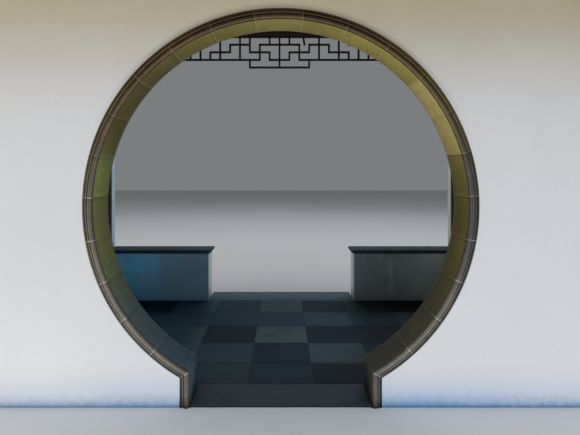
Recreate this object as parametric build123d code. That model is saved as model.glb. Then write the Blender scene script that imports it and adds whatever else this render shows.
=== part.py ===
from build123d import *
import os
from math import cos, radians, sin, sqrt, tan

# Moon gate with the small roofed porch behind it. Millimetres, X along the wall, Y into the porch,
# Z up from the ground. The origin lies on the ground under the middle of the round opening,
# in the middle of the wall's thickness.

# Front wall
wall_thickness = 270.0
wall_split_half_width = 860.0

# Round opening and its moulded surround
opening_radius = 1166.0
opening_centre_above_floor = 1229.0
arc_end_angle = 151.0
segment_count = 23
mortar_joint = 3.0
lining_thickness = 38.0
lining_edge_projection = 6.0
lining_edge_width = 19.0
cove_start_projection = 10.0
cove_width = 24.0
cove_projection = 18.0
groove_width = 3.5
groove_projection = 7.0
outer_fillet_width = 7.0
outer_fillet_projection = 14.0
outer_slope_width = 10.5
outer_slope_projection = 9.0

# Floor, threshold stone and rear kerb
floor_thickness = 15.0
threshold_depth = 310.0
floor_depth = 2155.0
kerb_depth = 400.0

# Side walls and gables
side_wall_thickness = 270.0
porch_half_width = 1930.0

# Low walls beside the rear passage, with their coping
passage_half_width = 805.0
low_wall_thickness = 250.0
low_wall_height = 520.0
coping_cove_height = 17.0
coping_cove_reach = 20.0
coping_slab_height = 25.0
coping_reach = 28.0
coping_slab_count = 3
coping_joint = 2.0

# Timber posts on their square pad stones
post_radius = 85.0
post_projection = 25.0
post_behind_low_wall_face = 56.0
post_base_half_width = 112.0
post_base_height = 60.0
socket_clearance = 0.3

# Rear beam and the lattice that hangs under it
beam_depth = 110.0
beam_height = 170.0
lattice_top_above_floor = 2938.0
lattice_row_spacing = 85.25
lattice_bar = 20.0
lattice_bar_depth = 28.0
lattice_stile = 44.0
lattice_middle_x = -20.0
lattice_column_count = 17
lattice_row_count = 3
lattice_drop_row_count = 1
lattice_drop_column_count = 3
loose_bar_x = 246.0
loose_bar_length = 95.0
loose_bar_lean = 9.0

# Lattice pattern: uprights by column from the middle, each as (top row, bottom row), and rails by row
# as (from, to) columns. Both repeat after lattice_repeat_count columns.
lattice_repeat_count = 16
lattice_uprights = {
    0: [(0, 3)],
    1: [(0, 1), (2, 3)],
    2: [(1, 3)],
    3: [(0, 2)],
    4: [(0, 3)],
    5: [(1, 2)],
    6: [(0, 3)],
    7: [(2, 3)],
    8: [(1, 3)],
}
lattice_rails = {
    1: [(-2, 2), (3, 5), (7, 9)],
    2: [(1, 3), (5, 7)],
}

# Purlins, rafters and eave boards
purlin_radius = 75.0
purlin_bearing = 150.0
lower_pitch = 25.0
upper_pitch = 33.0
rafter_depth = 65.0
rafter_width = 50.0
rafter_count = 17
eave_beyond_purlin = 475.0
eave_board_thickness = 25.0
eave_board_setback = 30.0

# Roof covering, with its rows of cover tiles as plain ribs
roof_thickness = 95.0
verge_overhang = 70.0
slope_bend_count = 3
cover_row_count = 18
cover_row_half_width = 85.0
cover_row_crown_half_width = 45.0
cover_row_height = 55.0
cover_row_inset = 6.0

# Ridge
ridge_bed_half_width = 85.0
ridge_bed_height = 135.0
ridge_end_rise = 70.0
ridge_end_run = 620.0
ridge_foot_half_width = 110.0
ridge_foot_height = 35.0
ridge_waist_half_width = 62.0
ridge_waist_height = 95.0
ridge_cap_half_width = 92.0
ridge_cap_height = 55.0
ridge_cap_shoulder_half_width = 74.0
ridge_cap_shoulder_height = 38.0
ridge_cap_crown_half_width = 28.0

# Levels and lines that follow from the sizes above
wall_front = -wall_thickness / 2
wall_back = wall_thickness / 2
opening_centre = floor_thickness + opening_centre_above_floor
wall_hole_radius = opening_radius + lining_thickness
surround_width = lining_edge_width + cove_width + groove_width + outer_fillet_width + outer_slope_width
corner_x = opening_radius * sin(radians(arc_end_angle))
corner_z = opening_centre + opening_radius * cos(radians(arc_end_angle))
threshold_back = wall_front + threshold_depth
low_wall_front = threshold_back + floor_depth
low_wall_back = low_wall_front + low_wall_thickness
low_wall_top = floor_thickness + low_wall_height
coping_height = coping_cove_height + coping_slab_height
side_outer = porch_half_width + side_wall_thickness
post_x = porch_half_width - post_projection + post_radius
post_y = low_wall_front + post_behind_low_wall_face
lattice_top = floor_thickness + lattice_top_above_floor
beam_bottom = lattice_top + lattice_bar / 2
beam_top = beam_bottom + beam_height
eave_purlin_z = beam_top + purlin_radius
ridge_y = post_y / 2
half_run = ridge_y / 2
middle_purlin_z = eave_purlin_z + half_run * tan(radians(lower_pitch))
ridge_purlin_z = middle_purlin_z + half_run * tan(radians(upper_pitch))
eave_y = -eave_beyond_purlin
roof_half_length = side_outer + verge_overhang

# Axis that the surround turns about, through the middle of the opening
opening_axis = Axis((0, 0, opening_centre), (0, 1, 0))


def block(x_range, y_range, z_range):
    """A square-edged block between three pairs of limits."""
    size = [high - low for low, high in (x_range, y_range, z_range)]
    middle = [(high + low) / 2 for low, high in (x_range, y_range, z_range)]
    return Pos(*middle) * Box(*size)


def side_prism(points, x_range):
    """A prism along X from an outline given as (y, z) points."""
    face = Plane.YZ * make_face(Polyline(*points, close=True))
    return Pos(x_range[0], 0, 0) * extrude(face, x_range[1] - x_range[0])


def face_prism(points, y_range):
    """A prism along Y from an outline given as (x, z) points."""
    face = Plane.XZ * make_face(Polyline(*points, close=True))
    return Pos(0, y_range[1], 0) * extrude(face, y_range[1] - y_range[0])


def bar_along_x(radius, half_length, y, z):
    """A round timber along X."""
    return Pos(0, y, z) * (Rot(0, 90, 0) * Cylinder(radius, 2 * half_length))


def flip(shape):
    """The same piece on the other side of the gate."""
    return mirror(shape, Plane.YZ)


def only(shape):
    """The one solid of a finished piece."""
    return shape.solids()[0]


def save(name, *shapes):
    """Write the solids of one named piece."""
    solids = [solid for shape in shapes for solid in shape.solids()]
    piece = solids[0] if len(solids) == 1 else Compound(children=solids)
    export_step(piece, f"parts/{name}.step")


# Surround


def surround_section():
    """Section of the lining with its front and rear mouldings, as (radius, y) points turned on XY."""
    inner = opening_radius
    cove_start = inner + lining_edge_width
    cove_end = cove_start + cove_width
    outer_start = cove_end + groove_width
    outer_end = outer_start + outer_fillet_width
    wall_line = inner + surround_width
    half = wall_thickness / 2

    def face_side(way):
        """Moulding from the arris out to where it dies on the wall, and back under it to the lining."""
        return [
            (inner, way * (half + lining_edge_projection)),
            (cove_start, way * (half + cove_start_projection)),
            (cove_end, way * (half + cove_projection)),
            (cove_end, way * (half + groove_projection)),
            (outer_start, way * (half + groove_projection)),
            (outer_start, way * (half + outer_fillet_projection)),
            (outer_end, way * (half + outer_fillet_projection)),
            (wall_line, way * (half + outer_slope_projection)),
            (wall_line, way * half),
            (wall_hole_radius, way * half),
        ]

    front = face_side(-1)
    rear = face_side(1)
    return make_face(Polyline(*front, *reversed(rear), close=True))


def surround_arc(start_angle, end_angle):
    """Part of the ring between two angles, clockwise from the top as seen from the front."""
    section = Pos(0, 0, opening_centre) * surround_section()
    turned = section.rotate(opening_axis, start_angle - 90)
    return revolve(turned, opening_axis, end_angle - start_angle)


def mitre_block(gap):
    """Everything on the jamb's side of the mitre at the right-hand corner."""
    out_x = 1 + sin(radians(arc_end_angle))
    out_z = cos(radians(arc_end_angle))
    length = sqrt(out_x**2 + out_z**2)
    along = (out_x / length, out_z / length)
    down = (along[1], -along[0])
    reach = 4 * wall_thickness
    start = (corner_x + gap * down[0], corner_z + gap * down[1])
    points = [
        (start[0] - reach * along[0], start[1] - reach * along[1]),
        (start[0] + reach * along[0], start[1] + reach * along[1]),
        (start[0] + reach * (along[0] + down[0]), start[1] + reach * (along[1] + down[1])),
        (start[0] + reach * (down[0] - along[0]), start[1] + reach * (down[1] - along[1])),
    ]
    return face_prism(points, (-reach, reach))


def make_surround():
    """Ring segments with open mortar joints, the keystone and the mitred jambs."""
    pitch = 2 * arc_end_angle / segment_count
    half_joint = mortar_joint / 2 / radians(opening_radius)
    save("surround_keystone", surround_arc(half_joint - pitch / 2, pitch / 2 - half_joint))
    right = []
    for number in range(1, segment_count // 2 + 1):
        start = (number - 0.5) * pitch + half_joint
        end = (number + 0.5) * pitch - half_joint
        if number == segment_count // 2:
            end = arc_end_angle + pitch / 8
            right.append(surround_arc(start, end) - mitre_block(-mortar_joint / 2))
        else:
            right.append(surround_arc(start, end))
    save("surround_segments_right", *right)
    save("surround_segments_left", *[flip(piece) for piece in right])
    section = Pos(corner_x - opening_radius, 0, 0) * surround_section()
    upright = extrude(section, corner_z)
    jamb = upright & mitre_block(mortar_joint / 2)
    save("surround_jamb_right", jamb)
    save("surround_jamb_left", flip(jamb))


# Front wall


def wall_hole():
    """The round hole and the straight foot that the surround lines."""
    hole = Pos(0, 0, opening_centre) * (Rot(90, 0, 0) * Cylinder(wall_hole_radius, 2 * wall_thickness))
    half_foot = corner_x + lining_thickness
    foot_top = opening_centre - wall_hole_radius / 2
    return hole + block((-half_foot, half_foot), (-wall_thickness, wall_thickness), (-1, foot_top))


def make_front_wall(purlin_socket):
    """Wall in its two feet, its two shoulders and the stretch over the gate."""
    thickness = (wall_front, wall_back)
    outer = (corner_x, side_outer)
    beside = (wall_split_half_width, side_outer)
    over = (-wall_split_half_width, wall_split_half_width)
    hole = wall_hole()
    foot = block(outer, thickness, (0, opening_centre)) - hole
    shoulder = block(beside, thickness, (opening_centre, eave_purlin_z)) - hole - purlin_socket
    middle = block(over, thickness, (opening_centre, eave_purlin_z)) - hole - purlin_socket
    save("front_wall_foot_right", foot)
    save("front_wall_foot_left", flip(foot))
    save("front_wall_shoulder_right", shoulder)
    save("front_wall_shoulder_left", flip(shoulder))
    save("front_wall_over_gate", middle)


# Floor and low walls


def post_base_shape(clearance):
    """Pad stone under the right-hand post, grown by a clearance."""
    reach = post_base_half_width + clearance
    across = (post_x - reach, post_x + reach)
    along = (post_y - reach, post_y + reach)
    return block(across, along, (0, post_base_height + clearance))


def post_shape(clearance):
    """Right-hand post from its base to the underside of the purlin, grown by a clearance."""
    height = beam_top - post_base_height
    return Pos(post_x, post_y, post_base_height + height / 2) * Cylinder(post_radius + clearance, height)


def make_floor():
    """Threshold stone, paved floor and the kerb between the low walls."""
    level = (0, floor_thickness)
    threshold = block((-corner_x, corner_x), (wall_front, threshold_back), level)
    jamb_outside = corner_x + surround_width
    moulding_back = wall_back + cove_projection
    jamb_foot = block((-jamb_outside, jamb_outside), (wall_front, moulding_back), level)
    floor = block((-porch_half_width, porch_half_width), (wall_back, low_wall_front), level)
    base = post_base_shape(socket_clearance)
    floor = floor - threshold - jamb_foot - base - flip(base)
    kerb = block(
        (-passage_half_width, passage_half_width),
        (low_wall_front, low_wall_front + kerb_depth),
        level,
    )
    save("threshold_stone", threshold)
    save("porch_floor", only(floor))
    save("rear_kerb", kerb)


def coping_outline(near, far):
    """Coping seen end on, over a wall from near to far, as a face in (across, up) coordinates."""
    outline = Polyline(
        (near, 0),
        (far, 0),
        (far + coping_cove_reach, coping_cove_height),
        (far + coping_reach, coping_cove_height),
        (far + coping_reach, coping_height),
        (near - coping_reach, coping_height),
        (near - coping_reach, coping_cove_height),
        (near - coping_cove_reach, coping_cove_height),
        close=True,
    )
    return make_face(outline)


def make_low_walls():
    """Low walls and their moulded coping slabs, which return round the free ends."""
    base = post_base_shape(socket_clearance)
    post = post_shape(socket_clearance)
    wall = block(
        (passage_half_width, porch_half_width),
        (low_wall_front, low_wall_back),
        (0, low_wall_top),
    )
    wall = only(wall - base - post)
    save("low_wall_right", wall)
    save("low_wall_left", flip(wall))

    far_end = porch_half_width + side_wall_thickness
    along = Pos(0, 0, low_wall_top) * (Plane.YZ * coping_outline(low_wall_front, low_wall_back))
    across = Pos(0, 0, low_wall_top) * (Plane.XZ * coping_outline(passage_half_width, far_end))
    along_prism = extrude(along, far_end)
    across_prism = Pos(0, 2 * low_wall_back, 0) * extrude(across, 2 * low_wall_back)
    above = (low_wall_top, low_wall_top + coping_height)
    kept = block((0, porch_half_width), (0, 2 * low_wall_back), above)
    coping = along_prism & across_prism & kept
    coping = coping - post
    slab_length = (porch_half_width - passage_half_width + coping_reach) / coping_slab_count
    for number in range(1, coping_slab_count):
        joint_x = passage_half_width - coping_reach + number * slab_length
        gap = (joint_x - coping_joint / 2, joint_x + coping_joint / 2)
        coping = coping - block(gap, (0, 2 * low_wall_back), above)
    save("low_wall_coping_right", coping)
    save("low_wall_coping_left", flip(coping))


# Roof line


def roof_line(offset):
    """Front half of a line that runs offset above the purlins' axes, as (y, z) from eave to ridge."""
    low = radians(lower_pitch)
    high = radians(upper_pitch)
    eave_z = eave_purlin_z - eave_beyond_purlin * tan(low) + offset / cos(low)
    ridge_z = ridge_purlin_z + offset / cos(high)
    bend_y = half_run - offset * (1 / cos(high) - 1 / cos(low)) / (tan(high) - tan(low))
    bend_z = ridge_z - (ridge_y - bend_y) * tan(high)
    return [(eave_y, eave_z), (bend_y, bend_z), (ridge_y, ridge_z)]


def height_on(line, y):
    """Height of the lower run of a roof line at a place along Y, in front of the bend."""
    return line[0][1] + (y - line[0][0]) * tan(radians(lower_pitch))


def to_rear(shape):
    """The same piece on the rear slope."""
    return mirror(shape, Plane.XZ.offset(-ridge_y))


def purlin_lines():
    """Name, y and z of each purlin from the front eave to the rear one."""
    return [
        ("front_eave_purlin", 0, eave_purlin_z),
        ("front_middle_purlin", half_run, middle_purlin_z),
        ("ridge_purlin", ridge_y, ridge_purlin_z),
        ("rear_middle_purlin", ridge_y + half_run, middle_purlin_z),
        ("rear_eave_purlin", post_y, eave_purlin_z),
    ]


def purlin_shape(y, z, clearance):
    """A purlin with both ends built into the gables, grown by a clearance."""
    return bar_along_x(purlin_radius + clearance, porch_half_width + purlin_bearing, y, z)


def make_side_walls(sockets):
    """Side walls, and the gables on them that carry the purlins and the roof."""
    thickness = (porch_half_width, side_outer)
    post = post_shape(socket_clearance)
    base = post_base_shape(socket_clearance)
    wall = block(thickness, (wall_back, low_wall_back), (0, beam_bottom)) - post - base
    underside = roof_line(purlin_radius + rafter_depth)
    front_z = height_on(underside, wall_front)
    rear_z = height_on(underside, 2 * ridge_y - low_wall_back)
    rear_bend = (2 * ridge_y - underside[1][0], underside[1][1])
    outline = [
        (wall_back, beam_bottom),
        (wall_back, eave_purlin_z),
        (wall_front, eave_purlin_z),
        (wall_front, front_z),
        underside[1],
        underside[2],
        rear_bend,
        (low_wall_back, rear_z),
        (low_wall_back, beam_bottom),
    ]
    gable = side_prism(outline, thickness) - post
    for socket in sockets:
        gable = gable - socket
    save("side_wall_right", wall)
    save("side_wall_left", flip(wall))
    save("gable_right", gable)
    save("gable_left", flip(gable))


def make_posts_and_beam():
    """Posts on their stone bases and the beam between them."""
    post = post_shape(0)
    base = post_base_shape(0)
    save("post_right", post)
    save("post_left", flip(post))
    save("post_base_right", base)
    save("post_base_left", flip(base))
    collar = post_shape(socket_clearance)
    depth = (post_y - beam_depth / 2, post_y + beam_depth / 2)
    beam = block((-porch_half_width, porch_half_width), depth, (beam_bottom, beam_top))
    save("rear_beam", only(beam - collar - flip(collar)))


# Hanging lattice


def make_lattice():
    """Stepped lattice of square bars, with the one loose bar right of the middle."""
    half_span = porch_half_width - post_projection
    end_column = lattice_column_count
    pitch = (half_span - lattice_stile / 2) / end_column
    half_bar = lattice_bar / 2
    frame_row = lattice_row_count
    drop_row = frame_row + lattice_drop_row_count
    drop_column = lattice_drop_column_count

    def row_z(row):
        return lattice_top - row * lattice_row_spacing

    def bar(left, right, low, high):
        centre = ((left + right) / 2, (low + high) / 2)
        return Pos(*centre) * Rectangle(right - left, high - low)

    def column_x(column):
        """Middle of a column; the end columns are the stiles, between the side walls."""
        if abs(column) == end_column:
            return column * pitch
        return column * pitch + lattice_middle_x

    def upright(column, top, bottom):
        middle = column_x(column)
        return bar(middle - half_bar, middle + half_bar, row_z(bottom) - half_bar, row_z(top) + half_bar)

    def rail(row, start, end):
        left = column_x(start) - half_bar
        right = column_x(end) + half_bar
        return bar(left, right, row_z(row) - half_bar, row_z(row) + half_bar)

    def stile(side):
        inside = side * (half_span - lattice_stile)
        left, right = sorted((inside, side * half_span))
        return bar(left, right, row_z(frame_row) - half_bar, row_z(0) + half_bar)

    bars = [rail(0, -end_column, end_column)]
    bars.append(rail(frame_row, -end_column, -2))
    bars.append(rail(frame_row, -1, 1))
    bars.append(rail(frame_row, 2, end_column))
    bars.append(rail(drop_row, -drop_column, drop_column))
    bars.append(upright(0, frame_row, drop_row))
    for side in (-1, 1):
        bars.append(stile(side))
        bars.append(upright(side * drop_column, frame_row, drop_row))
    for column in range(1 - end_column, end_column):
        within = abs(column) % lattice_repeat_count
        folded = min(within, lattice_repeat_count - within)
        for top, bottom in lattice_uprights[folded]:
            if column == drop_column:
                top = 1
            bars.append(upright(column, top, bottom))
    for row, runs in lattice_rails.items():
        for start, end in runs:
            for repeat in (-1, 0, 1):
                for side in (-1, 1):
                    first, last = sorted((side * start, side * end))
                    first = first + repeat * lattice_repeat_count
                    last = last + repeat * lattice_repeat_count
                    if first > -end_column and last < end_column:
                        bars.append(rail(row, first, last))
    loose = Rectangle(lattice_bar, loose_bar_length, align=(Align.CENTER, Align.MAX))
    loose = Pos(loose_bar_x, row_z(0)) * (Rot(0, 0, loose_bar_lean) * loose)
    pattern = bars[0].fuse(*bars[1:], loose)
    lattice = extrude(Plane.XZ * pattern, lattice_bar_depth / 2, both=True)
    save("hanging_lattice", Pos(0, post_y, 0) * lattice)


# Roof


def make_purlins():
    """Round timbers from gable to gable."""
    for name, y, z in purlin_lines():
        save(name, purlin_shape(y, z, 0))


def make_rafters():
    """Squared rafters over the purlins on both slopes, and the boards that close their ends."""
    underside = roof_line(purlin_radius)
    top = roof_line(purlin_radius + rafter_depth)
    end_y = eave_y + eave_board_setback + eave_board_thickness
    outline = [
        (end_y, height_on(underside, end_y)),
        underside[1],
        underside[2],
        top[2],
        top[1],
        (end_y, height_on(top, end_y)),
    ]
    spacing = (2 * porch_half_width - rafter_width) / (rafter_count - 1)
    front = []
    for number in range(rafter_count):
        left = number * spacing - porch_half_width
        front.append(side_prism(outline, (left, left + rafter_width)))
    save("front_rafters", *front)
    save("rear_rafters", *[to_rear(piece) for piece in front])
    board_y = eave_y + eave_board_setback
    board = side_prism(
        [
            (board_y, height_on(underside, board_y)),
            (end_y, height_on(underside, board_y)),
            (end_y, height_on(top, end_y)),
            (board_y, height_on(top, board_y)),
        ],
        (-side_outer, side_outer),
    )
    save("front_eave_board", board)
    save("rear_eave_board", to_rear(board))


def front_slope():
    """Front half of the covering: flat boards below, a hollow sweep above, ribbed by its cover rows."""
    below = roof_line(purlin_radius + rafter_depth)
    above = roof_line(purlin_radius + rafter_depth + roof_thickness)
    sweep_line = ThreePointArc(*above)
    bends = [sweep_line @ (number / slope_bend_count) for number in range(slope_bend_count + 1)]
    bends = [(point.X, point.Y) for point in bends]
    slab = side_prism([*reversed(below), *bends], (-roof_half_length, roof_half_length))
    rows = [cover_rows(start, end) for start, end in zip(bends, bends[1:])]
    uncovered = block(
        (-roof_half_length, roof_half_length),
        (ridge_y - ridge_bed_half_width, 2 * ridge_y),
        (0, 2 * ridge_purlin_z),
    )
    rows = [row - uncovered for row in rows]
    return only(slab.fuse(*rows))


def cover_rows(start, end):
    """Ribs of the cover tiles on one straight stretch of the slope, between two (y, z) points."""
    first = roof_half_length - cover_row_half_width - cover_row_inset
    spacing = 2 * first / (cover_row_count - 1)
    sink = roof_thickness / 4
    section = Polyline(
        (-cover_row_half_width, -sink),
        (cover_row_half_width, -sink),
        (cover_row_half_width, 0),
        (cover_row_crown_half_width, cover_row_height),
        (-cover_row_crown_half_width, cover_row_height),
        (-cover_row_half_width, 0),
        close=True,
    )
    plane = Plane.XZ.offset(-start[0])
    rise = Vector(0, end[0] - start[0], end[1] - start[1])
    rows = []
    for number in range(cover_row_count):
        face = plane * (Pos(number * spacing - first, start[1]) * make_face(section))
        rows.append(extrude(face, rise.length, dir=rise.normalized()))
    return Compound(children=rows)


def ridge_path(height):
    """Line of the ridge as seen from the front: level, with both ends swept up."""
    level_half = roof_half_length - ridge_end_run
    middle = Line((-level_half, height), (level_half, height))
    right = TangentArc((level_half, height), (roof_half_length, height + ridge_end_rise), tangent=(1, 0))
    left = TangentArc((-level_half, height), (-roof_half_length, height + ridge_end_rise), tangent=(-1, 0))
    return left, middle, right


def make_roof():
    """Both slopes, the bed along their meeting and the moulded ridge on it."""
    front = front_slope()
    rear = to_rear(front)
    crest = roof_line(purlin_radius + rafter_depth + roof_thickness)[2][1]
    bed_top = crest + ridge_bed_height
    left, middle, right = ridge_path(bed_top)
    low = crest - roof_thickness
    ends = Polyline(
        (-roof_half_length, bed_top + ridge_end_rise),
        (-roof_half_length, low),
        (roof_half_length, low),
        (roof_half_length, bed_top + ridge_end_rise),
    )
    bed_face = Plane.XZ.offset(-ridge_y) * make_face([left, middle, right, ends])
    bed = extrude(bed_face, ridge_bed_half_width, both=True) - front - rear
    cap_foot = ridge_foot_height + ridge_waist_height
    section = make_face(
        Polyline(
            (-ridge_foot_half_width, 0),
            (ridge_foot_half_width, 0),
            (ridge_foot_half_width, ridge_foot_height),
            (ridge_waist_half_width, ridge_foot_height),
            (ridge_waist_half_width, cap_foot),
            (ridge_cap_half_width, cap_foot),
            (ridge_cap_shoulder_half_width, cap_foot + ridge_cap_shoulder_height),
            (ridge_cap_crown_half_width, cap_foot + ridge_cap_height),
            (-ridge_cap_crown_half_width, cap_foot + ridge_cap_height),
            (-ridge_cap_shoulder_half_width, cap_foot + ridge_cap_shoulder_height),
            (-ridge_cap_half_width, cap_foot),
            (-ridge_waist_half_width, cap_foot),
            (-ridge_waist_half_width, ridge_foot_height),
            (-ridge_foot_half_width, ridge_foot_height),
            close=True,
        )
    )
    path = Plane.XZ.offset(-ridge_y) * Wire([left, middle, right])
    heading = path % 0
    upright = Plane(origin=path @ 0, x_dir=Vector(0, 0, 1).cross(heading), z_dir=heading)
    ridge = sweep(upright * section, path)
    save("roof_front_slope", front)
    save("roof_rear_slope", rear)
    save("ridge_bed", bed)
    save("roof_ridge", ridge)


os.makedirs("parts", exist_ok=True)
purlin_sockets = [purlin_shape(y, z, socket_clearance) for _, y, z in purlin_lines()]
make_surround()
make_front_wall(purlin_sockets[0])
make_floor()
make_low_walls()
make_side_walls(purlin_sockets)
make_posts_and_beam()
make_lattice()
make_purlins()
make_rafters()
make_roof()
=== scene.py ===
import random
from math import atan2, cos, pi, radians, sin, sqrt, tan

import bmesh
import bpy
from mathutils import Matrix, Vector


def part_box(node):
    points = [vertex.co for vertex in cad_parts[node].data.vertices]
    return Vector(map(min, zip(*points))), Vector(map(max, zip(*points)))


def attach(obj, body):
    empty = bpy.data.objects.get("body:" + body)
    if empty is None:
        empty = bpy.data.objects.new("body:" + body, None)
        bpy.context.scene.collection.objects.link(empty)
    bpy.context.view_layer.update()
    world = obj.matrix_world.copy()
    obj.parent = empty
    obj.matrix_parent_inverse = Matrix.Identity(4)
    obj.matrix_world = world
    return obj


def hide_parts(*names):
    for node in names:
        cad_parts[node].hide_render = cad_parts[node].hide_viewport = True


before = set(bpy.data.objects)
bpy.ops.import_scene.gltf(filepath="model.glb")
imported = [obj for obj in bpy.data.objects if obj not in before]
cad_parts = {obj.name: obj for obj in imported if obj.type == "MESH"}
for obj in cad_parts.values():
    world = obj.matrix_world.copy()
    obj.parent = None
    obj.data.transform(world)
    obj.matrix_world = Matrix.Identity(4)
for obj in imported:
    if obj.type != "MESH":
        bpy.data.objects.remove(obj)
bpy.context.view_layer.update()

scene = bpy.context.scene

# Photograph and camera: the image is 580 x 435, and the wall stands square to the view
image_width = 580
image_height = 435
principal_x = 282.0
horizon_y = 168.0
focal_pixels = 503.0
wall_distance = 3.120
eye_beside_gate = 0.0077
eye_above_floor = 1.471

# Sizes that the frame's boxes give, in metres
wall_front, wall_rear = [corner.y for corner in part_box("front_wall_foot_right")]
half_wall = (wall_rear - wall_front) / 2
key_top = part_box("surround_keystone")[1].z
threshold_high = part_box("threshold_stone")[1]
corner_x = threshold_high.x
floor_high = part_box("porch_floor")[1]
floor_top = floor_high.z
side_wall_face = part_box("side_wall_right")[0].x
passage_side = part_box("low_wall_right")[0].x
low_wall_front, low_wall_rear = [corner.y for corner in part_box("low_wall_right")]
roof_low, roof_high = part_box("roof_front_slope")
ridge_y = roof_high.y
ridge_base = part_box("roof_ridge")[0].z
bed_front, bed_rear = [corner.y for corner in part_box("ridge_bed")]

# Surround, as in the solids
moulding_width = 0.064
opening_radius = 1.166
ring_radius = opening_radius + moulding_width
opening_centre = key_top - ring_radius
arc_end = radians(151)
corner_z = opening_centre + opening_radius * cos(arc_end)
mortar_joint = 0.003
mortar_inset = 0.0012
mitre_run = radians(2.4)
brick_wear = 0.0011
# Joints between the segments, in degrees from the crown: set out by eye, they aren't quite even
right_joints = (6.7, 20.3, 33.9, 47.4, 60.5, 73.6, 86.8, 99.9, 112.7, 125.5, 138.1)
left_joints = (7.9, 21.4, 34.9, 48.2, 61.4, 74.5, 87.3, 100.2, 113.1, 125.7, 138.6)
# Section of one face as (outward from the arris, rise over the wall's face); an inset draws its
# points towards section_middle
section_middle = 0.03
face_section = (
    (0.0, 0.006), (0.0030, 0.002), (0.0065, 0.010), (0.0100, 0.0165), (0.0150, 0.018),
    (0.0220, 0.0178), (0.0285, 0.0155), (0.0340, 0.0115), (0.0346, 0.001), (0.0395, 0.001),
    (0.0400, 0.012), (0.0450, 0.012), (0.0456, 0.001), (0.0530, 0.001), (0.0535, 0.005),
    (0.0580, 0.005), (0.0586, 0.001), (0.0640, 0.001), (0.0640, 0.0), (0.038, 0.0),
)

# Floor tiles
tile_side = 0.450
tile_joint = 0.004
tile_foot = 0.004
tile_sink = 0.0008
tile_wear = 0.0025
bed_share = 0.75

# Roof covering
board_count = 24
board_thickness = 0.022
board_setback = 0.030
half_board_joint = 0.001
bedding_top = board_thickness + 0.036
bedding_setback = 0.050
bedding_end_setback = 0.012
tile_row_count = 18
cover_half_width = 0.076
cover_row_edge = 0.091
cover_rise = 0.048
cover_lift = 0.020
pan_half_width = 0.116
pan_rise = 0.050
tile_thickness = 0.012
tile_exposure = 0.082
tile_length = 0.130
tile_setback = 0.040
tile_clearance = 0.004
tile_overrun = 0.15 * (bed_rear - bed_front)
plate_forward = 0.004
plate_wear = 0.002
half_plate_thickness = 0.006
drip_lean = radians(-16)
cap_lean = radians(12)

# Ridge, as in the solids, with a row of small tiles on edge in its waist
ridge_foot_height = 0.035
ridge_waist_half_width = 0.062
ridge_end_rise = 0.070
ridge_end_run = 0.620
edge_tile_height = 0.0935
edge_tile_thickness = 0.010
edge_tile_bow = 0.016
edge_tile_depth = 0.024
edge_tile_pitch = 0.034
edge_tile_sunk = 0.004


# Node helper and colours


def linear(colour):
    """Linear RGBA of an sRGB hex colour such as "8A8D8A"."""
    channels = [int(colour[at:at + 2], 16) / 255 for at in (0, 2, 4)]
    return (*[c / 12.92 if c <= 0.04045 else ((c + 0.055) / 1.055) ** 2.4 for c in channels], 1.0)


def per_mm(size):
    """Texture scale, in coordinates of metres, for features that many millimetres across."""
    return 1000.0 / size


def add_node(tree, kind, inputs=None, **settings):
    """Adds a node with its settings; an input is a value, a hex colour, an output or another node.

    Such a node stands for its first output in use."""
    node = tree.nodes.new(kind)
    for name, value in settings.items():
        setattr(node, name, value)
    for key, value in (inputs or {}).items():
        if isinstance(key, int):
            socket = node.inputs[key]
        else:
            socket = next(s for s in node.inputs if key in (s.identifier, s.name))
        if isinstance(value, bpy.types.Node):
            value = next(s for s in value.outputs if s.enabled)
        if isinstance(value, bpy.types.NodeSocket):
            tree.links.new(value, socket)
        elif isinstance(value, str) and socket.type == "RGBA":
            socket.default_value = linear(value)
        else:
            socket.default_value = value
    return node


def start_material(name):
    """A material with an empty tree, and the coordinates of the object in metres."""
    material = bpy.data.materials.new(name)
    material.use_nodes = True
    material.node_tree.nodes.clear()
    return material, add_node(material.node_tree, "ShaderNodeTexCoord").outputs["Object"]


def close_material(material, colour, roughness, normal, **shader):
    """Puts colour, roughness and relief on the surface; plain numbers go straight on the shader."""
    tree = material.node_tree
    inputs = {"Base Color": colour, "Roughness": roughness, "Normal": normal}
    inputs.update({name.replace("_", " "): value for name, value in shader.items()})
    surface = add_node(tree, "ShaderNodeBsdfPrincipled", inputs)
    add_node(tree, "ShaderNodeOutputMaterial", {"Surface": surface})
    return material


def stretched(place, scale):
    """Coordinates stretched for grain or streaks."""
    return add_node(place.id_data, "ShaderNodeMapping", {"Vector": place, "Scale": scale})


def mixed(tree, share, under, over, blend="MIX"):
    """One colour over another, by a share or a blend."""
    return add_node(
        tree, "ShaderNodeMix", {"Factor_Float": share, "A_Color": under, "B_Color": over},
        data_type="RGBA", blend_type=blend)


def tinted(colour, tint):
    """A colour seen through a tint."""
    return mixed(colour.id_data, 1.0, colour, tint, "MULTIPLY")


def shaded_by(value, low, high, under, over, amount=1.0):
    """Goes from one colour to another as a value goes from low to high."""
    share = add_node(value.id_data, "ShaderNodeMapRange", {
        "Value": value, "From Min": low, "From Max": high, "To Min": 0.0, "To Max": amount
    }, interpolation_type="SMOOTHSTEP")
    return mixed(value.id_data, share, under, over)


def followed(value, stops):
    """Colours that follow a value in metres through (metres, colour) stops."""
    colour = stops[0][1]
    for (start, _), (end, further) in zip(stops, stops[1:]):
        colour = shaded_by(value, start, end, colour, further)
    return colour


def banded(value, stops):
    """Colours that follow a value from 0 to 1 through (place, colour) stops."""
    ramp = add_node(value.id_data, "ShaderNodeValToRGB", {"Fac": value})
    elements = ramp.color_ramp.elements
    while len(elements) < len(stops):
        elements.new(1.0)
    for element, (at, colour) in zip(elements, stops):
        element.position = at
        element.color = linear(colour)
    return ramp


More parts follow.
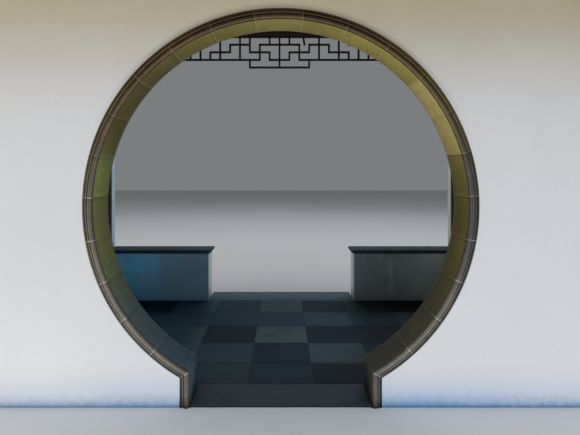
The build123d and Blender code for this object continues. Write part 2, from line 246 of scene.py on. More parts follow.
def patches(place, under, over, size, band, amount, detail=4.0):
    """Patches of one colour over another, size millimetres across; band is a part of the noise."""
    cloud = add_node(place.id_data, "ShaderNodeTexNoise", {
        "Vector": place, "Scale": per_mm(size), "Detail": detail, "Roughness": 0.6})
    return shaded_by(cloud, *band, under, over, amount)


def layered(place, colour, *layers):
    """Patches over a colour, each as (colour, size, band, amount) and the detail if need be."""
    for layer in layers:
        colour = patches(place, colour, *layer)
    return colour


def relief(place, *bumps):
    """Relief made of bumps, each size given as (millimetres across, millimetres high)."""
    earlier = {}
    for size, height in bumps:
        cloud = add_node(place.id_data, "ShaderNodeTexNoise", {
            "Vector": place, "Scale": per_mm(size), "Detail": 3.0, "Roughness": 0.55})
        bump = add_node(place.id_data, "ShaderNodeBump", {
            **earlier, "Height": cloud, "Distance": height / 1000.0, "Strength": 1.0})
        earlier = {"Normal": bump}
    return bump


def mesh_value(place, name):
    """A value kept in the mesh, from 0 to 1: tone, the shade of each brick, tile or timber, or
    outward, the place across the mouldings."""
    return add_node(place.id_data, "ShaderNodeAttribute", attribute_name=name).outputs["Fac"]


# Materials


def lime_plaster(name, whites, cloud_tint, fresh, outside, in_shade):
    """Trowelled plaster, limewashed: matt and white, faintly clouded, dusty where rain splashes up,
    with painted shade: blue at the foot of the front and cream under the eaves.

    The white follows (metres from the middle, colour) stops along the wall."""
    material, place = start_material(name)
    tree = material.node_tree
    sideways, across, height = add_node(tree, "ShaderNodeSeparateXYZ", {0: place}).outputs
    beside = add_node(tree, "ShaderNodeMath", {0: sideways}, operation="ABSOLUTE")
    outdoors = (low_wall_rear - 0.11, low_wall_rear - 0.01)
    off_the_front = (wall_front + 0.01, wall_front + 0.10)

    white = followed(sideways, whites)
    cloud = mixed(tree, 1.0, white, cloud_tint, "MULTIPLY")
    colour = layered(place, white, (cloud, 900, (0.40, 0.70), 0.8), (fresh, 260, (0.52, 0.70), 0.4))
    colour = shaded_by(across, *outdoors, colour, outside, 0.75)

    # Light from the garden on the inner faces of the side walls' ends and on the low walls' ends
    reveal = shaded_by(sideways, -0.1, 0.1, "B5DBE0", "E9E7C8")
    reveal = shaded_by(beside, side_wall_face + 0.015, side_wall_face + 0.005, colour, reveal, 0.75)
    reveal = shaded_by(beside, side_wall_face - 0.008, side_wall_face - 0.002, colour, reveal)
    reveal = shaded_by(beside, passage_side + 0.007, passage_side + 0.001, reveal, "F2F2EC")
    colour = shaded_by(across, low_wall_front - 0.13, low_wall_front - 0.03, colour, reveal)

    # Rain streaks; a band above the foot, grey on most faces and a blue painted shade on the front,
    # strongest beside the opening; then ragged grey dust with more blue painted shade on the front,
    # and specks
    streaks = stretched(place, (1.0, 1.0, 0.12))
    colour = patches(streaks, colour, "CFCBC0", 120, (0.56, 0.80), 0.45)
    ragged = add_node(tree, "ShaderNodeTexNoise", {
        "Vector": place, "Scale": per_mm(48), "Detail": 5.0, "Roughness": 0.65})
    splash_and_shade_mask = add_node(tree, "ShaderNodeMath", {
        0: ragged, 1: -0.25, 2: height}, operation="MULTIPLY_ADD")
    # Blue painted shade on the front, strongest beside the opening; grey haze on the other faces
    foot_haze_and_shade = followed(sideways, [
        (-1.60, "A1B4D4"), (-0.85, "9AB1D0"), (0.85, "7596C4"), (1.20, "82A1CC"), (1.65, "9DB5D3")])
    foot_haze_and_shade = shaded_by(across, *off_the_front, foot_haze_and_shade, "C6C9C9")
    foot_dust_and_shade = followed(sideways, [(-0.85, "8098BE"), (0.85, "698BB6"), (1.65, "7393BC")])
    foot_dust_and_shade = shaded_by(across, *off_the_front, foot_dust_and_shade, "A2A6A8")
    foot_shade_top, foot_shade_amount = 0.30, 1.00
    if in_shade:
        foot_shade_top, foot_shade_amount = 0.21, 0.80
        foot_haze_and_shade = shaded_by(across, *outdoors, cloud, foot_haze_and_shade)
        foot_dust_and_shade = shaded_by(across, *outdoors, cloud, foot_dust_and_shade)
    colour = shaded_by(height, foot_shade_top, 0.0, colour, foot_haze_and_shade, foot_shade_amount)
    colour = shaded_by(splash_and_shade_mask, -0.03, -0.14, colour, foot_dust_and_shade, 0.90)
    peppered = patches(place, colour, "77828C", 13, (0.56, 0.72), 0.75, 2.0)
    colour = shaded_by(splash_and_shade_mask, -0.05, -0.13, colour, peppered)

    # Painted shade under the eaves: the limewash goes darker and cream towards the top, most of all
    # on the front
    eave_shade_front = shaded_by(height, 1.62, 2.5, "FFFFFF", "C5B88C")
    eave_shade_other_faces = shaded_by(height, 1.7, 3.0, "FFFFFF", "E7DEC4")
    eave_shade_tint = shaded_by(across, wall_front + 0.006, wall_front + 0.001, eave_shade_other_faces, eave_shade_front)
    colour = tinted(colour, eave_shade_tint)

    # Painted shadow over the crown of the ring, and the shadow line around it
    from_centre = add_node(tree, "ShaderNodeVectorMath", {
        0: stretched(place, (1.0, 0.0, 1.0)), 1: (0.0, 0.0, opening_centre)}, operation="DISTANCE")
    crown_shadow = shaded_by(from_centre, ring_radius + 0.050, ring_radius - 0.004, colour, "6F6A5C", 0.85)
    colour = shaded_by(height, opening_centre + 0.3, opening_centre + 1.1, colour, crown_shadow)
    rim = shaded_by(from_centre, ring_radius + 0.0060, ring_radius + 0.0042, colour, "2A241A", 0.95)
    colour = shaded_by(across, wall_rear + 0.065, wall_rear + 0.055, colour, rim)
    colour = patches(place, colour, "8D8C84", 14, (0.735, 0.80), 0.7, 1.0)
    return close_material(material, colour, 0.86, relief(place, (420, 2.2), (55, 0.55), (4, 0.20)))


def lime_mortar():
    """Lime putty in the joints, matt: white on the mouldings, grey on the lining."""
    material, place = start_material("lime_mortar_pointed")
    tree = material.node_tree
    _, across, height = add_node(tree, "ShaderNodeSeparateXYZ", {0: place}).outputs
    depth = add_node(tree, "ShaderNodeMath", {0: across}, operation="ABSOLUTE")
    rubbed = shaded_by(mesh_value(place, "tone"), 0.25, 0.45, "23241D", "736F54")
    # Mortar on the mouldings goes darker towards the top: painted shade under the eaves
    pointed = shaded_by(height, 1.75, 1.15, "7A6F55", "BDB8A8")
    colour = shaded_by(depth, half_wall - 0.001, half_wall + 0.004, rubbed, pointed)
    colour = patches(place, colour, "5E5B4C", 26, (0.46, 0.62), 0.8)
    return close_material(material, colour, 0.9, relief(place, (3, 0.3)))


def ground_brick():
    """Ground grey clay slabs and mouldings, matt: an olive film, with painted light that is olive
    above and slate-grey below, and painted shade in the hollows.
    """
    material, place = start_material("grey_clay_ground_smooth")
    tree = material.node_tree
    sideways, across, height = add_node(tree, "ShaderNodeSeparateXYZ", {0: place}).outputs
    depth = add_node(tree, "ShaderNodeMath", {0: across}, operation="ABSOLUTE")
    outward = mesh_value(place, "outward")
    tone = mesh_value(place, "tone")

    # Lining: an olive film with painted light by height and side, bluer and darker below, then the
    # shade of each slab and a painted highlight along the rear edge
    foot = shaded_by(sideways, -0.7, 0.7, "39474D", "373426")
    waist = shaded_by(sideways, -1.0, 1.0, "5C5E2D", "4F4618")
    top = shaded_by(sideways, -0.95, 0.05, "423B0C", "5D5520")
    top = shaded_by(sideways, 0.20, 0.55, top, "6C6328")
    lining = shaded_by(height, 0.30, 1.05, foot, waist)
    lining = shaded_by(height, 1.36, 1.76, lining, top)
    lining = patches(place, lining, "585628", 260, (0.52, 0.74), 0.4)
    pale = shaded_by(sideways, -0.5, 0.5, "6E8A33", "A08A4C")
    lining = shaded_by(tone, 0.70, 0.92, lining, pale, 0.50)
    lining = shaded_by(tone, 0.30, 0.02, lining, "1E1C12", 0.10)
    lining = shaded_by(across, half_wall - 0.013, half_wall - 0.008, lining, "746F44", 0.3)

    # Mouldings: painted shade in their hollows and painted highlights on their fillets, in a lit
    # copy low down and a darker shaded copy higher up, and darker stretches round the ring
    painted_light_bands_low = banded(outward, [
        (0.00, "453E33"), (0.08, "453E33"), (0.12, "575041"), (0.34, "4A4234"), (0.52, "585043"),
        (0.55, "14120D"), (0.615, "14120D"), (0.628, "6A614E"), (0.70, "6A614E"), (0.715, "0E0C08"),
        (0.90, "1F1B16"), (1.00, "2B261F")])
    painted_light_bands_high = banded(outward, [
        (0.00, "443B2C"), (0.08, "443B2C"), (0.12, "60553F"), (0.20, "51462F"), (0.34, "382F23"),
        (0.49, "251F16"), (0.53, "0E0C08"), (0.615, "0E0C08"), (0.628, "7C6E52"), (0.70, "7C6E52"),
        (0.715, "0E0C08"), (0.825, "0E0C08"), (0.84, "584C39"), (0.90, "584C39"), (0.92, "2A231A"),
        (1.00, "2A231A")])
    moulding = shaded_by(height, 1.1, 2.0, painted_light_bands_low, painted_light_bands_high)
    moulding = patches(place, moulding, "6A5B45", 90, (0.46, 0.70), 0.3)
    # Painted warm light towards the top
    moulding = tinted(moulding, shaded_by(height, 1.2, 2.2, "FFFFFF", "E6D0A4"))
    # Darker stretches: on the right and bluer, on the left, a painted shade at the crown under the
    # eaves, and near the foot
    for value, low, high, darkening, amount in (
            (sideways, 1.04, 1.17, "171C26", 0.45), (sideways, -1.06, -1.17, "201E1C", 0.25),
            (height, 2.25, 2.38, "120E08", 0.35), (height, 0.28, 0.18, "2A1F18", 0.40)):
        moulding = shaded_by(value, low, high, moulding, darkening, amount)

    # The lining lies in the wall's thickness, the mouldings on its faces, a painted shade line at
    # the arris between
    colour = shaded_by(depth, half_wall - 0.001, half_wall + 0.0025, lining, moulding)
    arris = shaded_by(depth, half_wall + 0.0015, half_wall + 0.0035, colour, "1C1913", 0.4)
    colour = shaded_by(depth, half_wall + 0.0055, half_wall + 0.0075, arris, colour)
    colour = shaded_by(tone, 0.0, 1.0, colour, "625C38", 0.12)
    colour = layered(
        place, colour, ("7C7964", 30, (0.62, 0.78), 0.3), ("33342D", 14, (0.62, 0.76), 0.45),
        ("2C2B1F", 34, (0.42, 0.58), 0.22))
    normal = relief(place, (35, 0.5), (2.5, 0.22))
    return close_material(material, colour, 0.78, normal, Specular_IOR_Level=0.25)


def floor_clay():
    """Square grey clay tiles, worn by feet: each fired to its own shade, with a dull polish."""
    material, place = start_material("grey_clay_floor_tile_worn")
    tree = material.node_tree
    sideways, across, _ = add_node(tree, "ShaderNodeSeparateXYZ", {0: place}).outputs
    tone = mesh_value(place, "tone")
    colour = "1E282E"
    for low, high, firing in ((0.20, 0.28, "2E3735"), (0.44, 0.50, "2C3B43"),
                              (0.55, 0.80, "434F4D"), (0.84, 0.92, "545E56")):
        colour = shaded_by(tone, low, high, colour, firing)
    # Painted shade towards both sides of the porch, with painted blue light on the left
    colour = tinted(colour, followed(sideways, [
        (-0.90, "7AB6D8"), (-0.55, "E2F6FF"), (-0.20, "FFFFFF"), (0.60, "FFFFFF"),
        (0.90, "A8AAAC")]))
    # Painted shade on the course by the threshold, and a faint blue painted light on the far
    # courses
    colour = tinted(colour, followed(across, [
        (0.50, "CEC9B8"), (0.62, "FFFCEA"), (1.38, "FFFCEA"), (1.48, "F0FFFF")]))
    colour = layered(
        place, colour, ("22282B", 170, (0.48, 0.74), 0.4), ("5D645D", 18, (0.64, 0.80), 0.3),
        ("15181A", 9, (0.70, 0.76), 0.7, 1.0))
    normal = relief(place, (120, 0.9), (5, 0.25))
    return close_material(material, colour, 0.72, normal, Specular_IOR_Level=0.25)


def joint_sand():
    """Dark sanded lime between floor tiles."""
    material, place = start_material("sanded_lime_joint")
    colour = patches(place, "3B3D3A", "5A5A52", 12, (0.42, 0.64), 0.9)
    return close_material(material, colour, 0.93, relief(place, (3, 0.5)))


def granite(name, ground, dark, pale, roughness):
    """Dressed granite: grains of dark and pale mineral in a grey ground, fine-pointed."""
    material, place = start_material(name)
    colour = layered(
        place, ground, (dark, 150, (0.40, 0.70), 0.5), (dark, 5, (0.52, 0.60), 0.8, 2.0),
        (pale, 6, (0.60, 0.68), 0.75, 2.0))
    return close_material(material, colour, roughness, relief(place, (60, 1.0), (4, 0.5)))


def coping_clay():
    """Moulded grey clay slabs, weathered: darker, rougher than the floor, with pale lichen."""
    material, place = start_material("grey_clay_coping_moulded")
    sideways = add_node(place.id_data, "ShaderNodeSeparateXYZ", {0: place}).outputs["X"]
    # Bluer on the left and greyer on the right: painted light, as on the low walls
    dark = shaded_by(sideways, -0.8, 0.8, "293B40", "3E423D")
    light = shaded_by(sideways, -0.8, 0.8, "374C50", "53574E")
    colour = shaded_by(mesh_value(place, "tone"), 0.0, 1.0, dark, light)
    colour = layered(
        place, colour, ("262B2B", 90, (0.45, 0.70), 0.6), ("6E756E", 14, (0.63, 0.76), 0.5))
    return close_material(material, colour, 0.8, relief(place, (40, 0.6), (4, 0.35)))


def timber(name, dark, light, along, roughness):
    """Sawn and oiled fir: straight grain along the piece, a low sheen, fine open checks."""
    material, place = start_material(name)
    squeeze = [1.0, 1.0, 1.0]
    squeeze[along] = 0.06
    grain = stretched(place, squeeze)
    colour = shaded_by(mesh_value(place, "tone"), 0.0, 1.0, dark, light)
    colour = layered(
        grain, colour, (light, 14, (0.45, 0.70), 0.7, 5.0), ("120C0A", 5, (0.60, 0.72), 0.8, 2.0))
    colour = patches(place, colour, "6B5F55", 160, (0.60, 0.82), 0.25)
    return close_material(material, colour, roughness, relief(grain, (6, 0.5), (30, 1.0)))


def roof_clay(name, dark, light):
    """Small grey clay roof tiles: soft, matt and dusty, each its own shade, with lichen."""
    material, place = start_material(name)
    colour = shaded_by(mesh_value(place, "tone"), 0.0, 1.0, dark, light)
    colour = layered(
        place, colour, ("7C7F79", 120, (0.55, 0.78), 0.45), ("2E302F", 60, (0.55, 0.75), 0.6),
        ("A3A596", 12, (0.66, 0.76), 0.5))
    return close_material(material, colour, 0.85, relief(place, (25, 0.8), (4, 0.3)))


plaster = lime_plaster(
    "lime_plaster_trowelled", [(0.0, "E9E9E6")], "F4F2ED", "F1F1EF", "E6E6E2", False)
# The low walls' plaster is darkened all over to paint the porch's shade, with a blue painted light
# on the left that fades to the right
shaded_plaster = lime_plaster("lime_plaster_painted_shade", [
    (-1.75, "88C6DE"), (-0.95, "A0B8BA"), (0.90, "A29F8E"), (1.25, "A29F8E"), (1.75, "BDC7B8")],
    "E2DCDE", "A7AFB2", "ABABA5", True)
mortar = lime_mortar()
brick = ground_brick()
floor_tile = floor_clay()
sand_joint = joint_sand()
threshold_granite = granite("granite_threshold_worn", "2C2E2F", "1B1C1C", "494845", 0.68)
kerb_stone = granite("pale_stone_kerb_dressed", "526464", "3D4B4B", "73827F", 0.78)
pad_stone = granite("granite_pad_pointed", "8B8A85", "5B5A56", "B9B7AF", 0.8)
coping_tile = coping_clay()
post_timber = timber("fir_post_oiled_dark", "1C1410", "35241A", 2, 0.6)
beam_timber = timber("fir_beam_oiled_dark", "140E0B", "241812", 0, 0.6)
lattice_timber = timber("fir_lattice_oiled_dark", "0F0B09", "1B130E", 0, 0.55)
purlin_timber = timber("fir_purlin_oiled", "34251B", "553C2B", 0, 0.6)
rafter_timber = timber("fir_rafter_oiled", "34251B", "553C2B", 1, 0.62)
board_timber = timber("fir_board_sawn", "3B2B20", "5C4737", 1, 0.75)
roof_tile = roof_clay("grey_clay_roof_tile", "3F4243", "6A6D6C")
ridge_tile = roof_clay("grey_clay_ridge_tile", "3A3D3E", "5F6262")
ridge_mortar = granite("lime_mortar_ridge_weathered", "8E8E89", "5F605C", "B0B0A8", 0.9)


# Building pieces


def place_piece(name, mesh, material, nodes=()):
    """Adds a finished mesh that rides on the building and stands for its solids."""
    piece = bpy.data.objects.new(name, mesh)
    scene.collection.objects.link(piece)
    mesh.materials.clear()
    mesh.materials.append(material)
    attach(piece, "root")
    if nodes:
        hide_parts(*nodes)


def mesh_from(name, builder, smooth_angle=32):
    """A mesh of a builder's faces, smooth but for its sharp edges."""
    mesh = bpy.data.meshes.new(name)
    builder.to_mesh(mesh)
    builder.free()
    mesh.shade_smooth()
    mesh.set_sharp_from_angle(angle=radians(smooth_angle))
    return mesh


def place_built(name, builder, material, nodes=()):
    """Adds a piece made of a builder's faces."""
    place_piece(name, mesh_from(name, builder), material, nodes)


def evenly(low, high, steps):
    """Values from low to high in equal steps."""
    return [low + (high - low) * step / steps for step in range(steps + 1)]


def value_layer(items, name):
    """The layer of a mesh that keeps a named value for each corner or face."""
    return items.layers.float.get(name) or items.layers.float.new(name)


def face_outwards(builder):
    """Turns every face towards the outside."""
    bmesh.ops.recalc_face_normals(builder, faces=builder.faces)


def close_round(builder, one, two):
    """Faces all the way round between two rings of corners."""
    one_on, two_on = [ring[1:] + ring[:1] for ring in (one, two)]
    return [builder.faces.new(corners) for corners in zip(one, one_on, two_on, two)]


def prism(builder, one, two):
    """A solid between two rings of corners; returns its faces."""
    return [builder.faces.new(one[::-1]), builder.faces.new(two)] + close_round(builder, one, two)


def arched_plate(name, inner, outer, run):
    """A tile: a curved plate between two lines of points, carried along a vector."""
    builder = bmesh.new()
    outline = inner + outer[::-1]
    last = len(outline) - 1
    rings = [[builder.verts.new(point + shift) for point in outline] for shift in (Vector(), run)]
    close_round(builder, *rings)
    for step in range(len(inner) - 1):
        facing = last - step
        for ring in rings:
            builder.faces.new((ring[step], ring[step + 1], ring[facing - 1], ring[facing]))
    face_outwards(builder)
    return mesh_from(name, builder, 40)


def set_tones(builder, chance):
    """Gives each separate solid of a mesh its own shade."""
    layer = value_layer(builder.faces, "tone")
    seen = set()
    for start in builder.faces:
        if start in seen:
            continue
        shade = chance.random()
        waiting = {start}
        while waiting:
            face = waiting.pop()
            face[layer] = shade
            seen.add(face)
            waiting |= {other for edge in face.edges for other in edge.link_faces} - seen


def bevel_sharp(builder, width, steps=2, angle=35):
    """Rounds every edge sharper than an angle."""
    sharp = [
        edge for edge in builder.edges
        if len(edge.link_faces) == 2 and edge.calc_face_angle(0.0) > radians(angle)
    ]
    bmesh.ops.bevel(
        builder, geom=sharp, offset=width, offset_type="OFFSET", segments=steps,
        profile=0.5, affect="EDGES", clamp_overlap=True)


def welded(node):
    """The solids of a node with shared corners and whole faces."""
    builder = bmesh.new()
    builder.from_mesh(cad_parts[node].data)
    bmesh.ops.remove_doubles(builder, verts=builder.verts, dist=0.00002)
    bmesh.ops.dissolve_limit(
        builder, angle_limit=radians(0.6), use_dissolve_boundaries=False,
        verts=builder.verts, edges=builder.edges)
    return builder


def softened(name, node, wear, material, slot, seed, steps=2):
    """A node's own shape with worn edges and a shade for each solid."""
    builder = welded(node)
    bevel_sharp(builder, wear, steps)
    set_tones(builder, random.Random(seed))
    place_built(name, builder, material, [node])


# Surround


def surround_profile(inset):
    """Section of lining and mouldings as (outward, y) points, shrunk by an inset."""
    front = [
        (out + inset if out < section_middle else out - inset, -(half_wall + rise - inset))
        for out, rise in face_section
    ]
    return front + [(out, -across) for out, across in reversed(front)]


def arc_frame(angle):
    """Place and outward direction at an angle from the crown, clockwise from the front."""
    outward = Vector((sin(angle), 0, cos(angle)))
    return Vector((0, 0, opening_centre)) + outward * opening_radius, outward


def mitre_frame(shift):
    """Place and outward direction at the right-hand mitre, shifted along it."""
    outward = Vector((sin(arc_end), 0, cos(arc_end)))
    bisector = outward + Vector((1, 0, 0))
    stretch = 2 / bisector.length_squared
    return Vector((corner_x, 0, corner_z)) + shift, bisector * stretch


def segment_frames(start, end):
    """Frames from one angle to another."""
    return [arc_frame(angle) for angle in evenly(start, end, 10)]


def mirrored(frames):
    """The same frames on the left-hand side."""
    flip = Matrix.Diagonal((-1, 1, 1))
    return [(flip @ origin, flip @ outward) for origin, outward in reversed(frames)]


def sweep_piece(builder, frames, profile):
    """Closed solid through sections at frames; each point keeps its place across the mouldings."""
    layer = value_layer(builder.verts, "outward")
    rings = []
    for origin, outward in frames:
        ring = []
        for out, across in profile:
            corner = builder.verts.new(origin + outward * out + Vector((0, across, 0)))
            corner[layer] = out / moulding_width
            ring.append(corner)
        rings.append(ring)
    for one, two in zip(rings, rings[1:]):
        close_round(builder, one, two)
    builder.faces.new(rings[0][::-1])
    builder.faces.new(rings[-1])


def build_surround():
    """Moulded segments, mitred jambs, and the pale mortar that fills their joints."""
    half_joint = mortar_joint / 2
    gap = half_joint / opening_radius
    tangent = Vector((cos(arc_end), 0, -sin(arc_end)))
    last_cut = mitre_frame(-tangent * half_joint)
    jamb_top = mitre_frame(Vector((0, 0, -half_joint)))
    jamb = [jamb_top, (Vector((corner_x, 0, 0)), Vector((1, 0, 0)))]
    keystone = segment_frames(gap - radians(left_joints[0]), radians(right_joints[0]) - gap)
    sets = {"surround_keystone": [keystone]}
    joints = []
    for side, degrees, turned in (("right", right_joints, list), ("left", left_joints, mirrored)):
        cuts = [radians(joint) for joint in degrees]
        pieces = [segment_frames(one + gap, two - gap) for one, two in zip(cuts, cuts[1:])]
        pieces.append(segment_frames(cuts[-1] + gap, arc_end - mitre_run) + [last_cut])
        fillings = [[arc_frame(cut - gap), arc_frame(cut + gap)] for cut in cuts]
        fillings.append([last_cut, jamb_top])
        sets["surround_segments_" + side] = [turned(frames) for frames in pieces]
        sets["surround_jamb_" + side] = [turned(jamb)]
        joints += [turned(frames) for frames in fillings]

    profile = surround_profile(0.0)
    chance = random.Random(343693)
    for name, pieces in sets.items():
        builder = bmesh.new()
        for frames in pieces:
            sweep_piece(builder, frames, profile)
        face_outwards(builder)
        set_tones(builder, chance)
        bevel_sharp(builder, brick_wear, 2, 30)
        place_built(name + "_brick", builder, brick, [name])

    filler = surround_profile(mortar_inset)
    builder = bmesh.new()
    for frames in joints:
        sweep_piece(builder, frames, filler)
    face_outwards(builder)
    set_tones(builder, random.Random(367688))
    place_built("surround_mortar_joints", builder, mortar)


# Floor


def build_floor():
    """Square tiles in courses on a sanded bed, the first course cut to fit the threshold."""
    side = floor_high.x
    x_joints = [tile_side * (step + 0.5) for step in range(-5, 5)]
    x_lines = [-side] + [x for x in x_joints if abs(x) < side] + [side]
    y_lines = [threshold_high.y] + sorted(floor_high.y - tile_side * step for step in range(5))
    chance = random.Random(20828)
    builder = bmesh.new()
    layer = value_layer(builder.faces, "tone")
    half_joint = tile_joint / 2
    for y_one, y_two in zip(y_lines, y_lines[1:]):
        for x_one, x_two in zip(x_lines, x_lines[1:]):
            inner_x = min(abs(x_one), abs(x_two))
            behind_wall = y_one == threshold_high.y and inner_x > corner_x + moulding_width
            left, right = x_one + half_joint, x_two - half_joint
            front, rear = (wall_rear if behind_wall else y_one) + half_joint, y_two - half_joint
            plan = ((left, front), (right, front), (right, rear), (left, rear))
            foot = [builder.verts.new((x, y, tile_foot)) for x, y in plan]
            top = [
                builder.verts.new((x, y, floor_top - chance.random() * tile_sink)) for x, y in plan]
            shade = chance.random()
            for face in prism(builder, foot, top):
                face[layer] = shade
    bevel_sharp(builder, tile_wear)
    place_built("porch_floor_tiles", builder, floor_tile, ["porch_floor"])
    bed = welded("porch_floor")
    for corner in bed.verts:
        corner.co.z *= bed_share
    place_built("porch_floor_bed", bed, sand_joint)


# Roof


def centre_of(node):
    """The middle of a node's box."""
    low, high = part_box(node)
    return (low + high) / 2


eave_axis, middle_axis, ridge_axis = [
    centre_of(node) for node in ("front_eave_purlin", "front_middle_purlin", "ridge_purlin")]
lower_pitch = atan2(middle_axis.z - eave_axis.z, middle_axis.y - eave_axis.y)
upper_pitch = atan2(ridge_axis.z - middle_axis.z, ridge_axis.y - middle_axis.y)


def roof_line(offset):
    """Line that runs offset above the purlins' axes, as (y, z) from the front eave to the ridge."""
    eave_z = eave_axis.z + (roof_low.y - eave_axis.y) * tan(lower_pitch) + offset / cos(lower_pitch)
    ridge_z = ridge_axis.z + offset / cos(upper_pitch)
    shift = (1 / cos(upper_pitch) - 1 / cos(lower_pitch)) / (tan(upper_pitch) - tan(lower_pitch))
    bend_y = middle_axis.y - offset * shift
    bend_z = ridge_z - (ridge_axis.y - bend_y) * tan(upper_pitch)
    return [(roof_low.y, eave_z), (bend_y, bend_z), (ridge_axis.y, ridge_z)]


slab_offset = (roof_low.z - roof_line(0.0)[0][1]) * cos(lower_pitch)


def set_back(line, setback):
    """A roof line that starts a little up from the eave."""
    (start_y, start_z), (next_y, next_z) = line[:2]
    share = setback / (next_y - start_y)
    return [(start_y + setback, start_z + (next_z - start_z) * share)] + line[1:]


def strip_along_roof(builder, lower, upper, x_low, x_high, side):
    """A solid layer between two roof lines; side 1 is the rear slope."""
    outline = lower + upper[::-1]
    if side:
        outline = [(2 * ridge_y - y, z) for y, z in outline]
    near, far = [[builder.verts.new((x, y, z)) for y, z in outline] for x in (x_low, x_high)]
    prism(builder, far, near)


def tile_curve(offset, setback=0.0):
    """Hollow curve of the tiles over eave, bend and ridge, as its start, control point and end."""
    start, bend, end = [Vector((0, y, z)) for y, z in roof_line(slab_offset + offset)]
    start = start + (bend - start).normalized() * setback
    return start, 2 * bend - (start + end) / 2, end


def points_on(start, control, end, steps=12):
    """Points along such a curve, as (y, z)."""
    points = []
    for share in evenly(0, 1, steps):
        point = start * (1 - share) ** 2 + control * 2 * share * (1 - share) + end * share ** 2
        points.append((point.y, point.z))
    return points


def half_tile(half_width, rise, hollow, steps=8):
    """One tile as an arched plate, its lower edge at the origin and its length up the slope."""
    radius = (half_width ** 2 + rise ** 2) / (2 * rise)
    reach = atan2(half_width, radius - rise)
    lines = []
    for surface in (radius, radius + tile_thickness):
        line = []
        for angle in evenly(-reach, reach, steps):
            z = surface * cos(angle) - (radius - rise)
            z = rise - z + tile_thickness if hollow else z
            line.append(Vector((surface * sin(angle), 0, z)))
        lines.append(line)
    return arched_plate("tile", *lines, Vector((0, tile_length, 0)))


def rows_along_path():
    """Tree that repeats a piece along a curve from Start to End, in rows side by side along X."""
    tree = bpy.data.node_groups.new("rows_along_path", "GeometryNodeTree")
    for label, kind in (
            ("Geometry", "Geometry"), ("Start", "Vector"), ("Control", "Vector"),
            ("End", "Vector"), ("Spacing", "Float"), ("Row Count", "Int"), ("First Row", "Float"),
            ("Row Pitch", "Float"), ("Tilt", "Float"), ("Unevenness", "Float"), ("Seed", "Int"),
            ("Finish", "Material")):
        tree.interface.new_socket(name=label, in_out="INPUT", socket_type="NodeSocket" + kind)
    tree.interface.new_socket(name="Geometry", in_out="OUTPUT", socket_type="NodeSocketGeometry")
    want = tree.nodes.new("NodeGroupInput").outputs
    result = tree.nodes.new("NodeGroupOutput")

    # Points at the tiles' spacing, each with its heading, in rows side by side
    path = add_node(tree, "GeometryNodeCurveQuadraticBezier", {
        "Resolution": 64, "Start": want["Start"], "Middle": want["Control"], "End": want["End"]})
    even = add_node(tree, "GeometryNodeResampleCurve", {
        "Curve": path, "Length": want["Spacing"]}, mode="LENGTH")
    points = add_node(tree, "GeometryNodeCurveToPoints", {"Curve": even}, mode="EVALUATED")
    heading = add_node(tree, "GeometryNodeStoreNamedAttribute", {
        "Geometry": points, "Name": "heading", "Value": points.outputs["Tangent"]
    }, data_type="FLOAT_VECTOR", domain="POINT")
    step = add_node(tree, "ShaderNodeCombineXYZ", {"X": want["Row Pitch"]})
    first = add_node(tree, "ShaderNodeCombineXYZ", {"X": want["First Row"]})
    line = add_node(tree, "GeometryNodeMeshLine", {
        "Count": want["Row Count"], "Start Location": first, "Offset": step}, mode="OFFSET")
    rows = add_node(tree, "GeometryNodeInstanceOnPoints", {"Points": line, "Instance": heading})
    places = add_node(tree, "GeometryNodeRealizeInstances", {"Geometry": rows})

    # Each piece follows its heading, tilted over the one below and a little uneven
    known = add_node(tree, "GeometryNodeInputNamedAttribute", {
        "Name": "heading"}, data_type="FLOAT_VECTOR")
    aimed = add_node(tree, "FunctionNodeAlignRotationToVector", {
        "Vector": known}, axis="Y", pivot_axis="X")
    least, most = [
        add_node(tree, "ShaderNodeVectorMath", {
            0: (way, way, way), "Scale": want["Unevenness"]}, operation="SCALE")
        for way in (-1.0, 1.0)
    ]
    wobble = add_node(tree, "FunctionNodeRandomValue", {
        "Min": least, "Max": most, "Seed": want["Seed"]}, data_type="FLOAT_VECTOR")
    lean = add_node(tree, "ShaderNodeCombineXYZ", {"X": want["Tilt"]})
    turn = add_node(tree, "ShaderNodeVectorMath", {0: lean, 1: wobble}, operation="ADD")
    as_turn = add_node(tree, "FunctionNodeEulerToRotation", {"Euler": turn})
    lie = add_node(tree, "FunctionNodeRotateRotation", {
        "Rotation": aimed, "Rotate By": as_turn}, rotation_space="LOCAL")
    laid = add_node(tree, "GeometryNodeInstanceOnPoints", {
        "Points": places, "Instance": want["Geometry"], "Rotation": lie})

    # A shade for each piece, then plain geometry with its material
    shade = add_node(tree, "FunctionNodeRandomValue", {"Seed": want["Seed"]}, data_type="FLOAT")
    toned = add_node(tree, "GeometryNodeStoreNamedAttribute", {
        "Geometry": laid, "Name": "tone", "Value": shade}, data_type="FLOAT", domain="INSTANCE")
    solid = add_node(tree, "GeometryNodeRealizeInstances", {"Geometry": toned})
    finished = add_node(tree, "GeometryNodeSetMaterial", {
        "Geometry": solid, "Material": want["Finish"]})
    tree.links.new(finished.outputs[0], result.inputs[0])
    return tree


def repeat_piece(tree, mesh, values):
    """Plain mesh that a tree makes of a piece."""
    holder = bpy.data.objects.new("repeated", mesh)
    scene.collection.objects.link(holder)
    modifier = holder.modifiers.new("repeat", "NODES")
    modifier.node_group = tree
    for item in tree.interface.items_tree:
        if item.in_out == "INPUT" and item.name in values:
            modifier[item.identifier] = values[item.name]
    ready = holder.evaluated_get(bpy.context.evaluated_depsgraph_get())
    made = bpy.data.meshes.new_from_object(ready)
    holder.modifiers.remove(modifier)
    bpy.data.objects.remove(holder)
    return made


def joined_mesh(name, meshes):
    """Several meshes as one."""
    builder = bmesh.new()
    for mesh in meshes:
        builder.from_mesh(mesh)
    return mesh_from(name, builder, 40)


